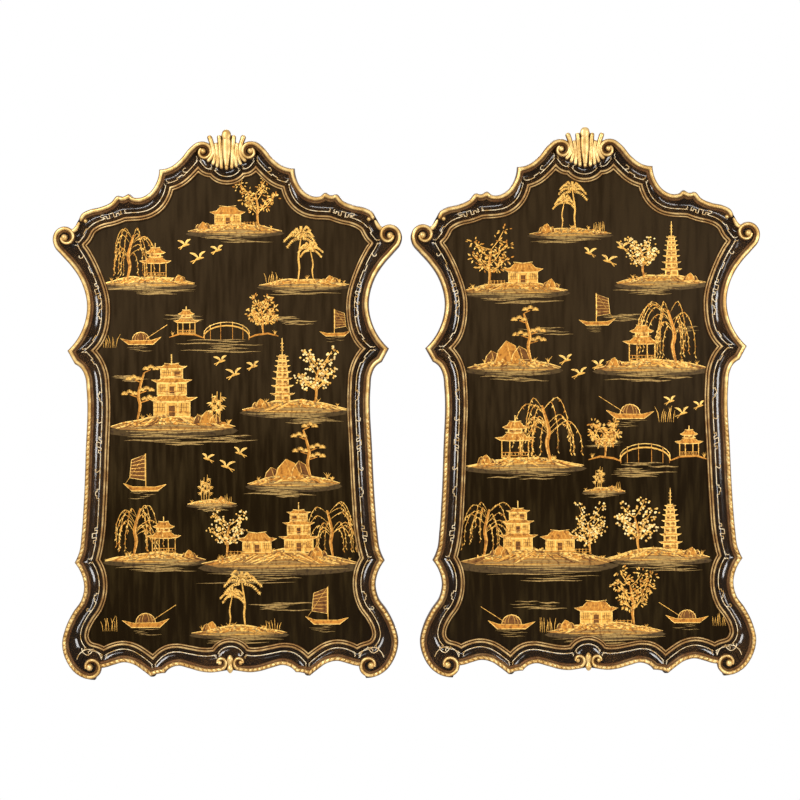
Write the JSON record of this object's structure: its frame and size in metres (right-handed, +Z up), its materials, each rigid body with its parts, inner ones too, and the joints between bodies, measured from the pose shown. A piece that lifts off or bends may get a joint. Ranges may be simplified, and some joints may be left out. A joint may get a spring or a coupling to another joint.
{
  "type": "pair of wall screens",
  "caption": "Pair of upright wall screens with shaped gilt and black lacquer frames, carved shell crests, scrolled shoulders and flat painted panels, each hung from D-rings.",
  "frame": {"origin": "on the wall plane, midway between the two screens, level with the pivots of the hanging rings", "axes": "+X to the viewer's right along the wall, +Y into the wall, +Z up; the fronts face -Y"},
  "size_m": [1.5712, 0.0503, 1.2195],
  "materials": {
    "gilt_wood": "carved wood with gold leaf",
    "lacquered_rail": "glossy dark lacquer",
    "lacquered_panel": "dark lacquer with gold painting",
    "back_board": "thin plain board",
    "dowel_wood": "plain hardwood",
    "screw_steel": "plated",
    "hanger_brass": "dull brass",
    "felt": "pressed felt"
  },
  "bodies": {
    "screens": {"left_screen_back_board": "back_board", "left_screen_board_screws": "screw_steel", "left_screen_bottom_bead_left": "gilt_wood", "left_screen_bottom_bead_right": "gilt_wood", "left_screen_bottom_clasp": "gilt_wood", "left_screen_bottom_rail": "lacquered_rail", "left_screen_crest_bead_left": "gilt_wood", "left_screen_crest_bead_right": "gilt_wood", "left_screen_crest_rail": "lacquered_rail", "left_screen_foot_stile_left": "lacquered_rail", "left_screen_foot_stile_right": "lacquered_rail", "left_screen_frame_dowels": "dowel_wood", "left_screen_hanger_screws": "screw_steel", "left_screen_hanger_straps": "hanger_brass", "left_screen_lower_stile_left": "lacquered_rail", "left_screen_lower_stile_right": "lacquered_rail", "left_screen_panel": "lacquered_panel", "left_screen_shell_crest": "gilt_wood", "left_screen_side_bead_left": "gilt_wood", "left_screen_side_bead_right": "gilt_wood", "left_screen_sight_bottom": "gilt_wood", "left_screen_sight_left": "gilt_wood", "left_screen_sight_right": "gilt_wood", "left_screen_sight_top": "gilt_wood", "left_screen_upper_stile_left": "lacquered_rail", "left_screen_upper_stile_right": "lacquered_rail", "left_screen_wall_pads": "felt", "right_screen_back_board": "back_board", "right_screen_board_screws": "screw_steel", "right_screen_bottom_bead_left": "gilt_wood", "right_screen_bottom_bead_right": "gilt_wood", "right_screen_bottom_clasp": "gilt_wood", "right_screen_bottom_rail": "lacquered_rail", "right_screen_crest_bead_left": "gilt_wood", "right_screen_crest_bead_right": "gilt_wood", "right_screen_crest_rail": "lacquered_rail", "right_screen_foot_stile_left": "lacquered_rail", "right_screen_foot_stile_right": "lacquered_rail", "right_screen_frame_dowels": "dowel_wood", "right_screen_hanger_screws": "screw_steel", "right_screen_hanger_straps": "hanger_brass", "right_screen_lower_stile_left": "lacquered_rail", "right_screen_lower_stile_right": "lacquered_rail", "right_screen_panel": "lacquered_panel", "right_screen_shell_crest": "gilt_wood", "right_screen_side_bead_left": "gilt_wood", "right_screen_side_bead_right": "gilt_wood", "right_screen_sight_bottom": "gilt_wood", "right_screen_sight_left": "gilt_wood", "right_screen_sight_right": "gilt_wood", "right_screen_sight_top": "gilt_wood", "right_screen_upper_stile_left": "lacquered_rail", "right_screen_upper_stile_right": "lacquered_rail", "right_screen_wall_pads": "felt"},
    "left_screen_ring_left_body": {"left_screen_hanger_ring_left": "hanger_brass"},
    "left_screen_ring_right_body": {"left_screen_hanger_ring_right": "hanger_brass"},
    "right_screen_ring_left_body": {"right_screen_hanger_ring_left": "hanger_brass"},
    "right_screen_ring_right_body": {"right_screen_hanger_ring_right": "hanger_brass"}
  },
  "joints": [
    {"name": "left_screen_ring_left_swing", "type": "hinge", "parent": "screens", "child": "left_screen_ring_left_body", "pos_m": [-0.69362, -0.0044, 0], "axis": [1, 0, 0], "range_deg": [0, 180]},
    {"name": "left_screen_ring_right_swing", "type": "hinge", "parent": "screens", "child": "left_screen_ring_right_body", "pos_m": [-0.10138, -0.0044, 0], "axis": [1, 0, 0], "range_deg": [0, 180]},
    {"name": "right_screen_ring_left_swing", "type": "hinge", "parent": "screens", "child": "right_screen_ring_left_body", "pos_m": [0.10138, -0.0044, 0], "axis": [1, 0, 0], "range_deg": [0, 180]},
    {"name": "right_screen_ring_right_swing", "type": "hinge", "parent": "screens", "child": "right_screen_ring_right_body", "pos_m": [0.69362, -0.0044, 0], "axis": [1, 0, 0], "range_deg": [0, 180]}
  ]
}
